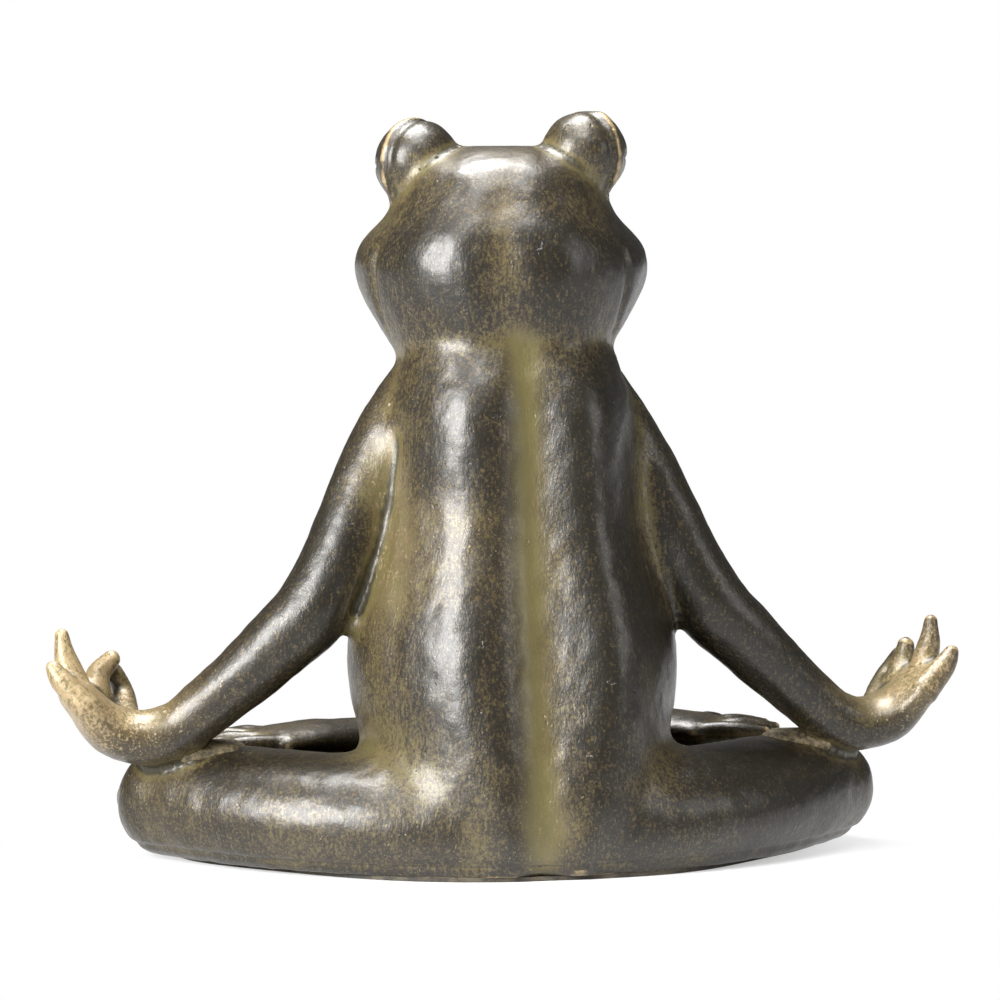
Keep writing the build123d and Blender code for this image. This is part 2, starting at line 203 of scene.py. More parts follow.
# the skin: all castings in one at first, so that the joins flow as they do on the real figure
skinSizes = {
    "voxel": 0.0015,
    "seamSwell": 0.0009,        # closes the slits between the castings
    "headTurn": 10.0,           # degrees to its right, as in the CAD
    "neckHeight": 0.228,
    "soleHeight": 0.002,        # top of the closing plate
    "boxKnee": 0.0012,          # within this of the CAD's box the skin is pressed back
    "rimDepth": 0.0015,         # how far the rims of the joins run inwards
}

castingNames = ["head_shell", "torso_shell", "left_arm", "right_arm", "left_hand", "right_hand",
                "left_leg", "right_leg", "left_foot", "right_foot"]

# webs between the fingers, in palm lengths sideways, back and up from the wrist
handSizes = {
    "wrist": (0.1485, 0.0192, 0.062),
    "palmLength": 0.045,
    "webThickness": 0.0034,
    "webReach": 0.92,           # how far along the fingers the webs run
    "webSag": 0.50,
    "webSteps": 8,
    "root": (0.72, -0.18, 0.02),
}
fingerRows = {
    "left": [((0.98, 0.16, 0.24), (1.20, 0.08, 0.48)), ((0.97, -0.18, 0.24), (1.12, -0.26, 0.62)),
             ((0.80, -0.54, 0.22), (0.78, -0.66, 0.46)), ((0.52, -0.48, 0.06), (0.50, -0.84, 0.24))],
    "right": [((0.98, 0.16, 0.24), (1.20, 0.08, 0.48)), ((0.97, -0.18, 0.24), (1.12, -0.26, 0.62)),
              ((0.86, -0.54, 0.22), (0.96, -0.66, 0.46)), ((0.62, -0.48, 0.06), (0.84, -0.92, 0.26))],
}


def handSpot(share, side):
    spot = np.array(handSizes["wrist"]) + np.array(share) * handSizes["palmLength"]
    return spot * np.array([side, 1, 1])


def makeWeb(first, second, side, name):
    # a sheet between two fingers, its free edge hanging in a curve
    steps = handSizes["webSteps"]
    bpy.ops.object.select_all(action="DESELECT")
    bpy.ops.mesh.primitive_grid_add(x_subdivisions=steps, y_subdivisions=steps, size=2)
    web = bpy.context.active_object
    web.name = name
    lines = [[handSpot(handSizes["root"], side), handSpot(finger[0], side), handSpot(finger[1], side)]
             for finger in (first, second)]
    for vertex in web.data.vertices:
        across = (vertex.co.x + 1) / 2
        onward = (vertex.co.y + 1) / 2
        reach = onward * 2 * handSizes["webReach"] * (1 - handSizes["webSag"] * across * (1 - across) * 2)
        part = min(int(reach), 1)
        ends = [line[part] + (line[part + 1] - line[part]) * (reach - part) for line in lines]
        vertex.co = Vector(ends[0] + (ends[1] - ends[0]) * across)
    solid = web.modifiers.new("thickness", "SOLIDIFY")
    solid.thickness = handSizes["webThickness"]
    solid.offset = 0
    selectOnly(web)
    bpy.ops.object.modifier_apply(modifier=solid.name)
    return web


copies = [copyNode(name, "raw_" + name) for name in castingNames + ["base_plate", "neck_dowel"]]
for obj in copies:
    flat = np.zeros(len(obj.data.vertices) * 3, np.float32)
    normals = np.zeros_like(flat)
    obj.data.vertices.foreach_get("co", flat)
    obj.data.vertices.foreach_get("normal", normals)
    obj.data.vertices.foreach_set("co", flat + normals * skinSizes["seamSwell"])
    obj.data.update()
for word, side in (("left", 1), ("right", -1)):
    rows = fingerRows[word]
    for count, (first, second) in enumerate(zip(rows, rows[1:])):
        copies.append(makeWeb(first, second, side, f"web_{word}_{count}"))
bpy.ops.object.select_all(action="DESELECT")
for obj in copies:
    obj.select_set(True)
bpy.context.view_layer.objects.active = copies[0]
bpy.ops.object.join()
skin = copies[0]
skin.name = "frogSkin"
skin.data.remesh_voxel_size = skinSizes["voxel"]
skin.data.remesh_voxel_adaptivity = 0
bpy.ops.object.voxel_remesh()
keepLargestPart(skin)
print("skin remeshed,", len(skin.data.vertices), "points")

headAngle = math.radians(-skinSizes["headTurn"])


def onHead(x, y, z):
    # a spot given on the head before it is turned, its height above the neck
    return (x * math.cos(headAngle) - y * math.sin(headAngle),
            x * math.sin(headAngle) + y * math.cos(headAngle),
            z + skinSizes["neckHeight"])


def pair(spot):
    # the same spot on both sides
    return [spot, (-spot[0], spot[1], spot[2])]


def rounds(millimetres):
    # smoothing turns that spread a shape over about that width
    return max(1, int((millimetres / 1000 / skinSizes["voxel"]) ** 2 * 1.6))


# the photo's view: the camera stands there, and spots read off the photo are cast from there onto the skin
cameraSettings = {
    "azimuth": 170.0,
    "elevation": 4.0,
    "distance": 2.4,
    "target": (0, 0, 0.161),
    "lens": 189.5,
    "sensor": 36.0,
    "shift": -0.001,
    "photoPixels": 1000,
}
azimuth = math.radians(cameraSettings["azimuth"])
elevation = math.radians(cameraSettings["elevation"])
level = math.cos(elevation)
away = Vector((math.sin(azimuth) * level, -math.cos(azimuth) * level, math.sin(elevation)))
cameraPlace = Vector(cameraSettings["target"]) + away * cameraSettings["distance"]
cameraTurn = (-away).to_track_quat("-Z", "Y")


def castPixels(pixels):
    # where spots of the photo, in its pixels from the top left, lie on the skin
    clay.store()
    faces = [face.vertices for face in clay.obj.data.polygons]
    tree = BVHTree.FromPolygons([vertex.co for vertex in clay.obj.data.vertices], faces)
    spots = []
    for across, down in pixels:
        x = across / cameraSettings["photoPixels"] - 0.5 + cameraSettings["shift"]
        y = 0.5 - down / cameraSettings["photoPixels"]
        ray = Vector((x, y, -cameraSettings["lens"] / cameraSettings["sensor"]))
        spots.append(tuple(tree.ray_cast(cameraPlace, cameraTurn @ ray)[0]))
    return spots


clay = Clay(skin)
clay.smooth(rounds(1.6))
clay.raiseBy(np.full(len(clay.points), -skinSizes["seamSwell"]))

# fillets where the castings flow into one another
hipPixel = (437, 787)           # the dimple at the hip in the photo
hipSpot = castPixels([hipPixel])[0]
fillets = [
    # spots with their radii, the weights at which it begins and is full, its width in millimetres
    ([(spot, (0.052, 0.060, 0.030)) for spot in pair((0.052, 0.060, 0.042))]
     + [((0.0, 0.090, 0.030), (0.050, 0.040, 0.040))], 0.12, 0.5, 13),                      # flanks
    ([(spot, (0.026, 0.036, 0.036)) for spot in pair((0.050, 0.030, 0.212))], 0.15, 0.6, 9),    # shoulders
    ([((0, 0.055, 0.229), (0.040, 0.034, 0.017))], 0.1, 0.5, 12),                           # nape
    ([(onHead(*spot), (0.024, 0.024, 0.016)) for spot in pair((0.030, 0.004, 0.074))], 0.2, 0.6, 4.5),  # eyes
    ([(spot, (0.013, 0.026, 0.013)) for spot in pair(hipSpot)], 0.1, 0.6, 8),
]
for spots, begin, full, width in fillets:
    weight = np.maximum.reduce([clay.near(spot, radii) for spot, radii in spots])
    clay.smooth(rounds(width), smoothStep(weight, begin, full), fillOnly=True)
clay.smooth(rounds(3), 1.0, fillOnly=True)
print("joins smoothed")

# the deep crease between each arm and the flank, read off the photo
seamSizes = {"reach": 0.012, "width": 0.0028, "depth": 0.0056}
seamRows = [
    # spots down the crease in the photo's pixels, and how far the line stands off the skin towards the camera
    ([(395, 435), (392, 470), (386, 510), (378, 550), (366, 590), (358, 612)], 0.0012),     # left
    ([(630, 440), (632, 480), (637, 520), (645, 560), (655, 592), (664, 615)], 0.0004),     # right
]
armSeams = []
for pixels, standOff in seamRows:
    corner = castPixels(pixels)
    clay.smooth(rounds(6), smoothStep(clay.nearLine(corner, seamSizes["reach"]), 0.1, 0.7))
    seam = [Vector(spot) + away * standOff for spot in castPixels(pixels)]
    clay.pressLine(seam, seamSizes["width"], seamSizes["depth"])
    armSeams.append(seam)

# the back: a soft groove between two long bulges
backSizes = {
    "halfWidth": 0.062,
    "begins": (0.03, 0.05),     # how far behind the middle the back begins and is full
    "rises": (0.01, 0.05),      # the same in height
    "top": 0.232,
    "grooveWidth": 0.0085,
    "grooveDepth": 0.0034,
    "grooveReach": 0.026,
}
spineLine = [(0, 0.052, 0.236), (0, 0.066, 0.200), (0, 0.078, 0.150), (0, 0.092, 0.100),
             (0, 0.104, 0.050), (0, 0.108, -0.010)]
bulges = [
    # spot, radii, height
    ((0.028, 0.060, 0.196), (0.018, 0.020, 0.030), 0.0022),     # shoulder blades
    ((-0.030, 0.060, 0.196), (0.018, 0.020, 0.030), 0.0022),
    ((0.034, 0.090, 0.110), (0.022, 0.030, 0.040), 0.0018),     # loins
    ((-0.036, 0.090, 0.104), (0.022, 0.030, 0.040), 0.0018),
]
behind = smoothStep(clay.points[:, 1], *backSizes["begins"])
raised = smoothStep(clay.points[:, 2], *backSizes["rises"]) * (clay.points[:, 2] < backSizes["top"])
spine = np.exp(-(clay.points[:, 0] / backSizes["halfWidth"]) ** 6) * behind * raised
clay.smooth(rounds(18), spine)
clay.pressLine(spineLine, backSizes["grooveWidth"], backSizes["grooveDepth"])
clay.smooth(rounds(6), clay.nearLine(spineLine, backSizes["grooveReach"]))
for spot, radii, height in bulges:
    clay.pushUp(spot, radii, height)

# the head: two soft swellings behind with a dip between them, cheeks, brow, mouth and nostrils
headSizes = {
    "bulge": ((0.027, 0.050, 0.040), (0.020, 0.022, 0.022), 0.0022),
    "dip": [(0, 0.060, 0.014), (0, 0.058, 0.050), (0, 0.050, 0.070)],
    "dipWidth": 0.010,
    "dipDepth": 0.0014,
    "cheek": ((0.062, -0.002, 0.040), (0.014, 0.022, 0.022), 0.0018),
    "cheekLine": [(0.046, 0.026, 0.082), (0.053, 0.030, 0.070), (0.0575, 0.026, 0.050),
                  (0.057, 0.024, 0.030), (0.050, 0.020, 0.012)],
    "cheekLineWidth": 0.0030,
    "cheekLineDepth": 0.0022,
    "brow": [(0.030, -0.030, 0.086), (0, -0.036, 0.088), (-0.030, -0.030, 0.086)],
    "browWidth": 0.009,
    "browHeight": 0.0014,
    "mouthSteps": 24,
    "mouthAngle": 84,           # degrees from the front to each corner
    "mouthReach": (0.0635, 0.0595),
    "mouthHeight": 0.033,
    "mouthLift": (0.010, 1.47),     # how much higher the corners sit, and at which angle in radians
    "mouthWidth": 0.0021,
    "mouthDepth": 0.0030,
    "lipDrop": 0.005,
    "lipWidth": 0.0035,
    "lipHeight": 0.0010,
    "nostril": [(0.0075, -0.052, 0.0600), (0.0085, -0.050, 0.0640)],
    "nostrilWidth": 0.0017,
    "nostrilDepth": 0.0022,
}


def headLine(line, side=1):
    return [onHead(side * x, y, z) for x, y, z in line]


spot, radii, height = headSizes["bulge"]
for place in pair(spot):
    clay.pushUp(onHead(*place), radii, height)
clay.pressLine(headLine(headSizes["dip"]), headSizes["dipWidth"], headSizes["dipDepth"])
spot, radii, height = headSizes["cheek"]
for side, place in zip((1, -1), pair(spot)):
    cheekLine = headLine(headSizes["cheekLine"], side)
    clay.pressLine(cheekLine, headSizes["cheekLineWidth"], headSizes["cheekLineDepth"])
    clay.pushUp(onHead(*place), radii, height)
clay.pressLine(headLine(headSizes["brow"]), headSizes["browWidth"], -headSizes["browHeight"])
reachSide, reachFront = headSizes["mouthReach"]
rise, span = headSizes["mouthLift"]
mouth = []
for step in range(headSizes["mouthSteps"] + 1):
    way = math.radians(headSizes["mouthAngle"] * (2 * step / headSizes["mouthSteps"] - 1))
    height = headSizes["mouthHeight"] + rise * (way / span) ** 2
    mouth.append(onHead(reachSide * math.sin(way), -reachFront * math.cos(way), height))
lowerLip = [(x, y, z - headSizes["lipDrop"]) for x, y, z in mouth[2:-2]]
clay.pressLine(mouth, headSizes["mouthWidth"], headSizes["mouthDepth"])
clay.pressLine(lowerLip, headSizes["lipWidth"], -headSizes["lipHeight"])
for side in (1, -1):
    clay.pressLine(headLine(headSizes["nostril"], side), headSizes["nostrilWidth"], headSizes["nostrilDepth"])

# the eyes: closed lids with a rim round them and a thin furrow behind the rim
eyeSizes = {
    "centres": [(0.0378, 0.002, 0.0865), (-0.0378, 0.002, 0.0905)],
    "radius": 0.0195,
    "gaze": (0.75, -0.65, 0.06),
    "rimAngle": 79.0,           # degrees between the gaze and the rim
    "furrowAngle": 91.0,
    "rimWidth": 0.0036,
    "rimHeight": 0.0013,
    "furrowWidth": 0.0022,
    "furrowDepth": 0.00104,
    "slitAngle": 54,
    "slitDrop": (0.34, 0.30, 0.95),     # how far the lids' line sags, how much less at its ends, and where
    "slitWidth": 0.0012,
    "slitDepth": 0.0016,
}
for centre in eyeSizes["centres"]:
    side = math.copysign(1, centre[0])
    gaze = Vector(eyeSizes["gaze"])
    gaze.x *= side
    gaze.normalize()
    aside = gaze.cross(Vector((0, 0, 1))).normalized()
    over = aside.cross(gaze)

    def onEye(way):
        return onHead(*(Vector(centre) + way * eyeSizes["radius"]))

    def ring(degrees):
        spread = math.radians(degrees)
        turns = [math.radians(10 * step) for step in range(37)]
        return [onEye(gaze * math.cos(spread) + (aside * math.cos(a) + over * math.sin(a)) * math.sin(spread))
                for a in turns]

    sag, easing, span = eyeSizes["slitDrop"]
    slit = []
    for step in range(13):
        angle = math.radians(eyeSizes["slitAngle"] * (step / 6 - 1))
        way = gaze * math.cos(angle) + aside * math.sin(angle)
        slit.append(onEye((way - over * (sag - easing * (angle / span) ** 2)).normalized()))
    clay.pressLine(ring(eyeSizes["rimAngle"]), eyeSizes["rimWidth"], -eyeSizes["rimHeight"])
    clay.pressLine(ring(eyeSizes["furrowAngle"]), eyeSizes["furrowWidth"], eyeSizes["furrowDepth"])
    clay.pressLine(slit, eyeSizes["slitWidth"], eyeSizes["slitDepth"])

# the narrow furrow round the foot of the casting
footFurrow = {"height": 0.0068, "width": 0.0013, "depth": 0.0008, "top": 0.014}
low = np.exp(-((clay.points[:, 2] - footFurrow["height"]) / footFurrow["width"]) ** 2)
clay.raiseBy(-footFurrow["depth"] * low * (clay.points[:, 2] < footFurrow["top"]))

# the hand-made unevenness of a casting
lumpSizes = {
    "seed": 7,
    "shares": (1.0, 0.45),      # coarse lumps and finer ones
    "waves": 16,
    "height": 0.00010,
    "length": 0.016,
}
shuffle = np.random.default_rng(lumpSizes["seed"])
for share in lumpSizes["shares"]:
    lumps = np.zeros(len(clay.points))
    for wave in range(lumpSizes["waves"]):
        heading = shuffle.normal(size=3)
        heading /= np.linalg.norm(heading)
        length = lumpSizes["length"] * share * shuffle.uniform(0.7, 1.5)
        lumps += np.sin(clay.points @ heading / length * 2 * math.pi + shuffle.uniform(0, 6.28))
    clay.raiseBy(lumps / 2.8 * lumpSizes["height"] * share)

# flat on the closing plate, and nowhere past the box of the CAD
knee = skinSizes["boxKnee"]
for axis, end, way in [(0, cadHigh, 1), (0, cadLow, -1), (1, cadHigh, 1), (1, cadLow, -1), (2, cadHigh, 1)]:
    past = np.maximum(clay.points[:, axis] * way - (end[axis] * way - knee), 0) / knee
    clay.points[:, axis] -= way * (past - (1 - np.exp(-past))) * knee
clay.points[:, 2] = np.maximum(clay.points[:, 2], skinSizes["soleHeight"])
clay.store()
print("skin sculpted")

# how hollow or how proud the skin is at each point, which the patina and the painted shade in the creases
# follow
wearWidths = {"fine": 3.0, "middle": 8.0, "broad": 16.0}    # millimetres
wear = {}
sharp = clay.points.copy()
skinNormals = clay.normals()
for name, width in wearWidths.items():
    clay.points = sharp.copy()
    clay.smooth(rounds(width * 0.8), step=0.95)
    wear[name] = ((clay.points - sharp) * skinNormals).sum(1) / (width / 1000)
clay.points = sharp

# where the dark patina was left thick (above nothing) or rubbed back to ochre (below nothing), with painted
# shade added on the figure's right side, away from the big lamp
rubAndShadeSpots = [
    # spot, radii, amount
    # painted shade: the spots on the figure's right (x below nothing) get more dark than those on its left
    (onHead(0.027, 0.052, 0.044), (0.017, 0.030, 0.016), 0.55),     # back of the head
    (onHead(-0.027, 0.052, 0.046), (0.017, 0.030, 0.016), 0.60),
    (onHead(-0.052, 0.020, 0.045), (0.022, 0.030, 0.030), 0.40),
    (onHead(0.0, 0.055, 0.014), (0.055, 0.040, 0.016), 0.28),
    (onHead(0.0, 0.050, 0.046), (0.010, 0.030, 0.030), -0.12),
    ((0.030, 0.060, 0.196), (0.017, 0.030, 0.026), 0.45),           # back
    ((0.030, 0.080, 0.155), (0.017, 0.030, 0.018), -0.10),
    ((0.040, 0.090, 0.085), (0.026, 0.040, 0.035), 0.35),
    ((0.062, 0.050, 0.150), (0.014, 0.040, 0.050), -0.30),
    ((-0.032, 0.070, 0.185), (0.022, 0.030, 0.045), 0.70),
    ((-0.036, 0.085, 0.105), (0.026, 0.040, 0.050), 0.65),
    ((0.100, 0.040, 0.115), (0.030, 0.030, 0.030), 0.10),           # arms
    ((-0.095, 0.040, 0.125), (0.040, 0.040, 0.055), 0.65),
    ((-0.060, 0.045, 0.190), (0.020, 0.030, 0.030), 0.35),
    ((0.085, 0.030, 0.150), (0.025, 0.030, 0.035), 0.35),
    ((0.125, 0.060, 0.045), (0.050, 0.040, 0.014), 0.25),           # thighs
    ((-0.125, 0.060, 0.040), (0.060, 0.040, 0.030), 0.60),
    ((0.190, 0.010, 0.085), (0.038, 0.050, 0.040), -0.62),          # hands
    ((-0.185, 0.020, 0.085), (0.034, 0.040, 0.034), -0.45),
    ((0.0, 0.110, 0.020), (0.018, 0.030, 0.016), -0.05),            # seat
]
grooveReach = 0.0095
seamReach = 0.0026
seamShade = np.maximum.reduce([clay.nearLine(seam, seamReach) for seam in armSeams])
values = {
    "hollow": smoothStep(wear["middle"], -0.02, 0.13),
    # painted shade: fine creases and the arm seams darkened as if in shadow
    "creaseShade": np.maximum(smoothStep(wear["fine"], 0.01, 0.10), seamShade * 1.3),
    "edge": smoothStep(-wear["fine"], 0.05, 0.16) * (1 - seamShade),
    "swell": smoothStep(-wear["broad"], -0.02, 0.20),
    "rubbedAndShaded": sum(clay.near(spot, radii) * amount for spot, radii, amount in rubAndShadeSpots),
    "groove": clay.nearLine(spineLine, grooveReach),
}

# the skin is parted along the joins again, one closed piece for each casting
pieceNames = {
    "head_shell": "headCasting", "torso_shell": "torsoCasting",
    "left_arm": "leftArmCasting", "right_arm": "rightArmCasting",
    "left_hand": "leftHandCasting", "right_hand": "rightHandCasting",
    "left_leg": "leftLegCasting", "right_leg": "rightLegCasting",
    "left_foot": "leftFootCasting", "right_foot": "rightFootCasting",
}
corners = []
triangles = []
owners = []
for number, name in enumerate(castingNames):
    mesh = nodes[name].data
    first = len(corners)
    corners += [vertex.co.copy() for vertex in mesh.vertices]
    triangles += [[first + index for index in polygon.vertices] for polygon in mesh.polygons]
    owners += [number] * len(mesh.polygons)
castings = BVHTree.FromPolygons(corners, triangles)
owner = np.array([owners[castings.find_nearest(Vector(point))[2]] for point in clay.points])
scores = np.eye(len(castingNames))[owner]
for turn in range(rounds(4)):
    totals = [np.bincount(clay.start, column[clay.end], len(column)) for column in scores.T]
    scores = np.stack(totals, axis=1) / clay.friends
owner = scores.argmax(1)
quads = np.zeros(len(skin.data.polygons) * 4, np.int64)
skin.data.polygons.foreach_get("vertices", quads)
quads = quads.reshape(-1, 4)
quadOwner = owner[quads].min(1)

# each side of a face runs from its tail to its head, and the face across it has the same side turned round
tails = quads.ravel()
heads = np.roll(quads, -1, axis=1).ravel()
quadOf = np.repeat(np.arange(len(quads)), 4)
order = np.argsort(tails * len(owner) + heads)
found = np.searchsorted(tails[order] * len(owner) + heads[order], heads * len(owner) + tails)
across = quadOf[order[np.minimum(found, len(order) - 1)]]
cleanRounds = 40
nobody = len(castingNames)
for turn in range(cleanRounds):
    # a piece may not pinch itself at a point: all faces round such a point go to one piece
    rim = quadOwner[quadOf] != quadOwner[across]
    spots, counts = np.unique(tails[rim] * nobody + quadOwner[quadOf[rim]], return_counts=True)
    pinched = np.zeros(len(owner), bool)
    pinched[spots[counts > 1] // nobody] = True
    if not pinched.any():
        break
    lowest = np.full(len(owner), nobody)
    np.minimum.at(lowest, tails, quadOwner[quadOf])
    touched = pinched[quads]
    quadOwner = np.where(touched.any(1), np.where(touched, lowest[quads], nobody).min(1), quadOwner)
print("joins cleaned after", turn, "rounds")


def cutPiece(number, name):
    # the skin's faces that belong to one casting, closed at the joins
    chosen = quads[quadOwner == number]
    used, faces = np.unique(chosen, return_inverse=True)
    faces = faces.reshape(-1, 4)
    # a narrow rim runs inwards from the join, so that the cap has points of its own
    place = np.full(len(owner), -1)
    place[used] = np.arange(len(used))
    rim = (quadOwner[quadOf] == number) & (quadOwner[across] != number)
    starts, ends = place[tails[rim]], place[heads[rim]]
    inner = np.unique(np.concatenate([starts, ends]))
    turned = np.full(len(used), -1)
    turned[inner] = len(used) + np.arange(len(inner))
    faces = np.concatenate([faces, np.stack([ends, starts, turned[starts], turned[ends]], axis=1)])
    points = clay.points[used]
    points = np.concatenate([points, points[inner] - skinNormals[used][inner] * skinSizes["rimDepth"]])
    used = np.concatenate([used, used[inner]])
    mesh = bpy.data.meshes.new(name)
    mesh.from_pydata(points.tolist(), [], faces.tolist())
    for title, given in values.items():
        layer = mesh.attributes.new(title, "FLOAT", "POINT")
        layer.data.foreach_set("value", given[used].astype(np.float32))
    layer = mesh.attributes.new("skinNormal", "FLOAT_VECTOR", "POINT")
    layer.data.foreach_set("vector", skinNormals[used].astype(np.float32).ravel())
    piece = bpy.data.objects.new(name, mesh)
    bpy.context.scene.collection.objects.link(piece)
    selectOnly(piece)
    bpy.ops.object.mode_set(mode="EDIT")
    bpy.ops.mesh.select_all(action="SELECT")
    bpy.ops.mesh.fill_holes(sides=0)
    bpy.ops.mesh.select_all(action="SELECT")
    bpy.ops.mesh.quads_convert_to_tris(quad_method="BEAUTY", ngon_method="BEAUTY")
    bpy.ops.mesh.delete_loose()
    bpy.ops.object.mode_set(mode="OBJECT")
    normals = np.zeros(len(mesh.vertices) * 3, np.float32)
    mesh.attributes["skinNormal"].data.foreach_get("vector", normals)
    for polygon in mesh.polygons:
        polygon.use_smooth = True
    mesh.normals_split_custom_set_from_vertices(normals.reshape(-1, 3).tolist())
    return piece


pieces = []
for number, name in enumerate(castingNames):
    piece = cutPiece(number, pieceNames[name])
    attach(piece, "root")
    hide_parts(name)
    pieces.append(piece)
    print(piece.name, len(piece.data.polygons), "triangles")
bpy.data.objects.remove(skin)
print("pieces done")


# shader maths: a value from a node, on which arithmetic adds Math nodes
class Tap:
    def __init__(self, tree, socket):
        self.tree = tree
        self.socket = socket

    def join(self, operation, first, second):
        return addNode(self.tree, "ShaderNodeMath", {"operation": operation}, {0: first, 1: second})

    def __add__(self, other):
        return self.join("ADD", self, other)

    __radd__ = __add__

    def __sub__(self, other):
        return self.join("SUBTRACT", self, other)

    def __rsub__(self, other):
        return self.join("SUBTRACT", other, self)

    def __mul__(self, other):
        return self.join("MULTIPLY", self, other)

    __rmul__ = __mul__

    def between(self, low, high):
        # eased from 0 to 1 as the value goes from low to high
        return addNode(self.tree, "ShaderNodeMapRange", {"interpolation_type": "SMOOTHSTEP"},
                       {"Value": self, "From Min": low, "From Max": high})

    def larger(self, other):
        return self.join("MAXIMUM", self, other)


def addNode(tree, kind, settings, inputs, output=0):
    node = tree.nodes.new(kind)
    for name, setting in settings.items():
        setattr(node, name, setting)
    for name, given in inputs.items():
        if isinstance(given, Tap):
            tree.links.new(given.socket, node.inputs[name])
        else:
            node.inputs[name].default_value = given
    return Tap(tree, node.outputs[output])


def newMaterial(name):
    material = bpy.data.materials.new(name)
    material.use_nodes = True
    tree = material.node_tree
    shader = tree.nodes["Principled BSDF"]
    place = addNode(tree, "ShaderNodeTexCoord", {}, {}, "Object")
    return material, tree, shader, place


def noise(tree, place, scale, detail, roughness):
    return addNode(tree, "ShaderNodeTexNoise", {},
                   {"Vector": place, "Scale": scale, "Detail": detail, "Roughness": roughness})


def blend(tree, share, first, second):
    # a mix of two colours: the Mix node's colour sockets are inputs 6 and 7 and output 2
    return addNode(tree, "ShaderNodeMix", {"data_type": "RGBA"}, {0: share, 6: first, 7: second}, 2)


def paint(obj, material):
    obj.data.materials.clear()
    obj.data.materials.append(material)


# aged bronze: dark rubbed swellings, olive and ochre left in the hollows, fine brushed grain, satin lacquer,
# with painted shade in the fine creases and on the figure's right side
bronzeLook = {
    "dark": (0.010, 0.0080, 0.0045, 1),
    "brown": (0.056, 0.040, 0.017, 1),
    "olive": (0.088, 0.073, 0.025, 1),
    "moss": (0.108, 0.092, 0.028, 1),
    "ochre": (0.160, 0.107, 0.044, 1),
    "tan": (0.390, 0.285, 0.145, 1),
    "grainScale": 620.0,
    "patchScale": 26.0,
    "brushTurn": (0.0, 0.7, 0.3),
    "brushStretch": (1.0, 1.0, 0.30),
    "baseWear": 0.33,           # how much dark patina a plain flat place keeps
    "roughness": 0.47,
    "metallic": 0.25,
    "gloss": 0.55,
    "coat": 0.40,
    "coatRoughness": 0.27,
    "pitScale": 210.0,
    "bumpStrength": 0.60,
    "bumpHeight": 0.0006,
}
bronze, tree, shader, place = newMaterial("agedBronze")


def attribute(name):
    return addNode(tree, "ShaderNodeAttribute", {"attribute_name": name}, {}, "Fac")


patches = noise(tree, place, bronzeLook["patchScale"], 2.0, 0.5)
blotches = noise(tree, place, bronzeLook["patchScale"] * 4.5, 4.0, 0.65)
grain = noise(tree, place, bronzeLook["grainScale"], 3.0, 0.7)
speckle = noise(tree, place, bronzeLook["grainScale"] * 1.7, 2.0, 0.6)
brushing = {"Vector": place, "Rotation": bronzeLook["brushTurn"], "Scale": bronzeLook["brushStretch"]}
stretched = addNode(tree, "ShaderNodeMapping", {}, brushing, "Vector")
brushed = noise(tree, stretched, bronzeLook["grainScale"] * 1.2, 3.0, 0.65)

hollow = attribute("hollow")
creaseShade = attribute("creaseShade")
edge = attribute("edge")
swell = attribute("swell")
rubbedAndShaded = attribute("rubbedAndShaded")
groove = attribute("groove")

# the patina sum also takes in the painted shade on the figure's right side
patinaWithShade = bronzeLook["baseWear"] + swell * 0.26 - hollow * 0.42 + rubbedAndShaded * 0.75
wornAndShaded = (patinaWithShade + (patches - 0.5) * 0.8 + (blotches - 0.5) * 0.5).between(-0.30, 0.85)
dust = (grain - 0.5) * 1.5 + (brushed - 0.5) * 1.3 + (speckle - 0.5) * 1.0
ground = (blotches * 0.6 + patches * 0.4 + dust * 0.3).between(0.40, 0.62)
mossy = (groove + dust * 0.9 + (blotches - 0.5) * 0.6).between(0.25, 1.20)
bared = (edge * 0.9 + (blotches - 0.5) * 0.8 + dust * 0.3).between(0.40, 1.05)
colour = blend(tree, ground, bronzeLook["olive"], bronzeLook["ochre"])
colour = blend(tree, hollow.between(0.35, 0.80) * 0.8, colour, bronzeLook["olive"])
# the brown and dark layers lay the patina and also the painted shade on the figure's right side
colour = blend(tree, (wornAndShaded + dust * 1.0).between(0.10, 0.65), colour, bronzeLook["brown"])
colour = blend(tree, (wornAndShaded + dust * 1.2).between(0.40, 1.00), colour, bronzeLook["dark"])
colour = blend(tree, mossy * 0.80, colour, bronzeLook["moss"])
colour = blend(tree, (dust * 0.8 - rubbedAndShaded).between(0.15, 0.65) * 0.65, colour, bronzeLook["tan"])
colour = blend(tree, bared * 0.85, colour, bronzeLook["tan"])
# painted shade: the creases and the arm seams turned towards the dark colour
colour = blend(tree, (creaseShade + dust * 0.4).between(0.5, 1.1) * 0.8, colour, bronzeLook["dark"])
tree.links.new(colour.socket, shader.inputs["Base Color"])
rough = bronzeLook["roughness"] - wornAndShaded * 0.10 + dust * 0.12
tree.links.new(rough.socket, shader.inputs["Roughness"])
shader.inputs["Metallic"].default_value = bronzeLook["metallic"]
shader.inputs["Specular IOR Level"].default_value = bronzeLook["gloss"]
shader.inputs["Coat Weight"].default_value = bronzeLook["coat"]
shader.inputs["Coat Roughness"].default_value = bronzeLook["coatRoughness"]
pits = noise(tree, place, bronzeLook["pitScale"], 2.0, 0.5).between(0.70, 0.78)
height = grain * 0.5 + brushed * 0.6 + blotches * 0.8 - pits * 1.2
relief = {"Height": height, "Strength": bronzeLook["bumpStrength"], "Distance": bronzeLook["bumpHeight"]}
bump = addNode(tree, "ShaderNodeBump", {}, relief, "Normal")
tree.links.new(bump.socket, shader.inputs["Normal"])
for piece in pieces:
    paint(piece, bronze)


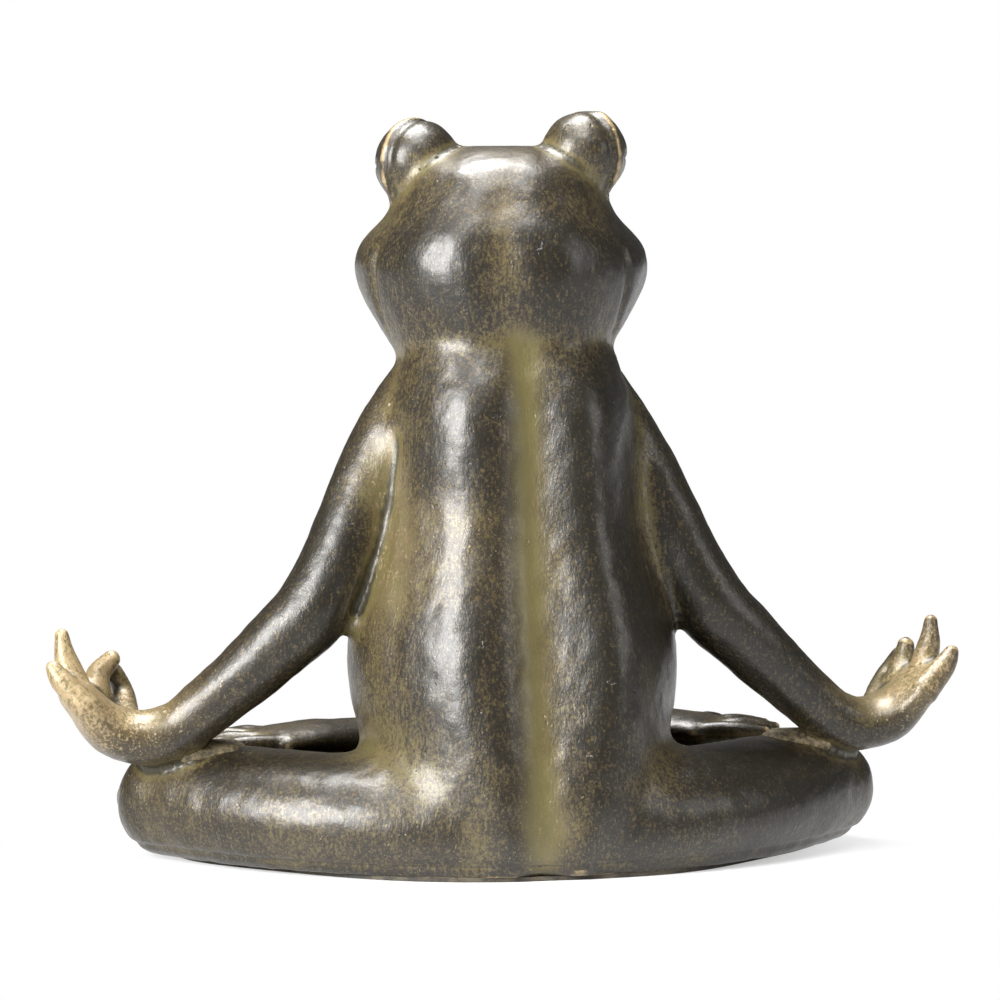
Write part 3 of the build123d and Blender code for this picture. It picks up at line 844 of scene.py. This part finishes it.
def plainFinish(name, look):
    # a mottled finish for the pieces that hardly show
    material, grainTree, finish, spot = newMaterial(name)
    mottle = noise(grainTree, spot, look["scale"], 4.0, 0.6)
    mix = blend(grainTree, mottle.between(0.35, 0.65), look["low"], look["high"])
    grainTree.links.new(mix.socket, finish.inputs["Base Color"])
    grainTree.links.new((look["roughness"] + (mottle - 0.5) * 0.3).socket, finish.inputs["Roughness"])
    finish.inputs["Metallic"].default_value = look["metallic"]
    relief = addNode(grainTree, "ShaderNodeBump", {},
                     {"Height": mottle, "Strength": 0.6, "Distance": look["depth"]}, "Normal")
    grainTree.links.new(relief.socket, finish.inputs["Normal"])
    return material


mortarLook = {"low": (0.04, 0.031, 0.016, 1), "high": (0.17, 0.13, 0.07, 1), "roughness": 0.75,
              "scale": 420.0, "depth": 0.0012, "metallic": 0.0}
steelLook = {"low": (0.30, 0.30, 0.31, 1), "high": (0.42, 0.42, 0.43, 1), "roughness": 0.35,
             "scale": 300.0, "depth": 0.0001, "metallic": 1.0}
boardLook = {"low": (0.030, 0.026, 0.020, 1), "high": (0.085, 0.072, 0.048, 1), "roughness": 0.70,
             "scale": 160.0, "depth": 0.0004, "metallic": 0.0}
finishes = {
    "filler_bead": plainFinish("mortarBead", mortarLook),
    "steel_rod": plainFinish("drawnSteel", steelLook),
    "base_board": plainFinish("baseBoard", boardLook),
}
slotOf = {piece["node"]: piece["material_slot"] for piece in frame["record"]["subparts"]}
for name, node in nodes.items():
    paint(node, finishes.get(slotOf[name], bronze))
print("finishes made")

# the studio: white floor and backdrop, soft lamps, and the camera where the photograph was taken from
studioSettings = {
    "floorSize": 30.0,
    "floorColour": (0.88, 0.88, 0.88, 1),
    "fadeStart": 0.02,          # from here on the floor turns into plain white
    "fadeEnd": 0.23,
    "airStrength": 0.10,
    "lampTarget": (0, 0, 0.16),
}
bpy.ops.object.select_all(action="DESELECT")
bpy.ops.mesh.primitive_plane_add(size=studioSettings["floorSize"], location=(0, 0, 0))
floor = bpy.context.active_object
floor.name = "studioFloor"
floorMaterial, floorTree, floorShader, floorPlace = newMaterial("paleFloor")
floorShader.inputs["Base Color"].default_value = studioSettings["floorColour"]
floorShader.inputs["Roughness"].default_value = 0.9
distance = addNode(floorTree, "ShaderNodeVectorMath", {"operation": "LENGTH"}, {0: floorPlace}, "Value")


def seenWhite(pathTree):
    # 1 for what the camera sees, also in gloss and through glass
    seen = addNode(pathTree, "ShaderNodeLightPath", {}, {}, "Is Camera Ray")
    for ray in ("Is Glossy Ray", "Is Transmission Ray"):
        seen = seen.larger(addNode(pathTree, "ShaderNodeLightPath", {}, {}, ray))
    return seen


share = distance.between(studioSettings["fadeStart"], studioSettings["fadeEnd"]) * seenWhite(floorTree)
white = addNode(floorTree, "ShaderNodeEmission", {}, {"Color": (1, 1, 1, 1), "Strength": 1.0})
plain = Tap(floorTree, floorShader.outputs[0])
floorMix = addNode(floorTree, "ShaderNodeMixShader", {}, {0: share, 1: plain, 2: white})
floorTree.links.new(floorMix.socket, floorTree.nodes["Material Output"].inputs["Surface"])
paint(floor, floorMaterial)

air = bpy.data.worlds.new("studioAir")
bpy.context.scene.world = air
air.use_nodes = True
airTree = air.node_tree
background = airTree.nodes["Background"]
background.inputs["Color"].default_value = (1, 1, 1, 1)
seenAir = addNode(airTree, "ShaderNodeLightPath", {}, {}, "Is Camera Ray")
strength = studioSettings["airStrength"] + seenAir * (1 - studioSettings["airStrength"])
airTree.links.new(strength.socket, background.inputs["Strength"])

lampRows = [
    # place, size, watts
    ((1.70, 1.10, 1.00), 1.2, 112),     # the big soft box to the left
    ((-1.60, 0.90, 0.90), 0.8, 6),      # a weak one to the right
    ((0.20, 0.70, 1.80), 0.9, 26),      # overhead
    ((0.15, -0.40, 1.85), 1.0, 68),     # overhead beyond the figure, for the gloss on the crown
]
for place, size, watts in lampRows:
    bpy.ops.object.light_add(type="AREA", location=place)
    lamp = bpy.context.active_object
    lamp.data.size = size
    lamp.data.energy = watts
    aim = Vector(studioSettings["lampTarget"]) - Vector(place)
    lamp.rotation_euler = aim.to_track_quat("-Z", "Y").to_euler()

cameraData = bpy.data.cameras.new("photoCamera")
camera = bpy.data.objects.new("photoCamera", cameraData)
bpy.context.scene.collection.objects.link(camera)
camera.location = cameraPlace
camera.rotation_euler = cameraTurn.to_euler()
cameraData.lens = cameraSettings["lens"]
cameraData.sensor_width = cameraSettings["sensor"]
cameraData.shift_x = cameraSettings["shift"]
bpy.context.scene.camera = camera

bpy.context.scene.view_settings.view_transform = "Standard"
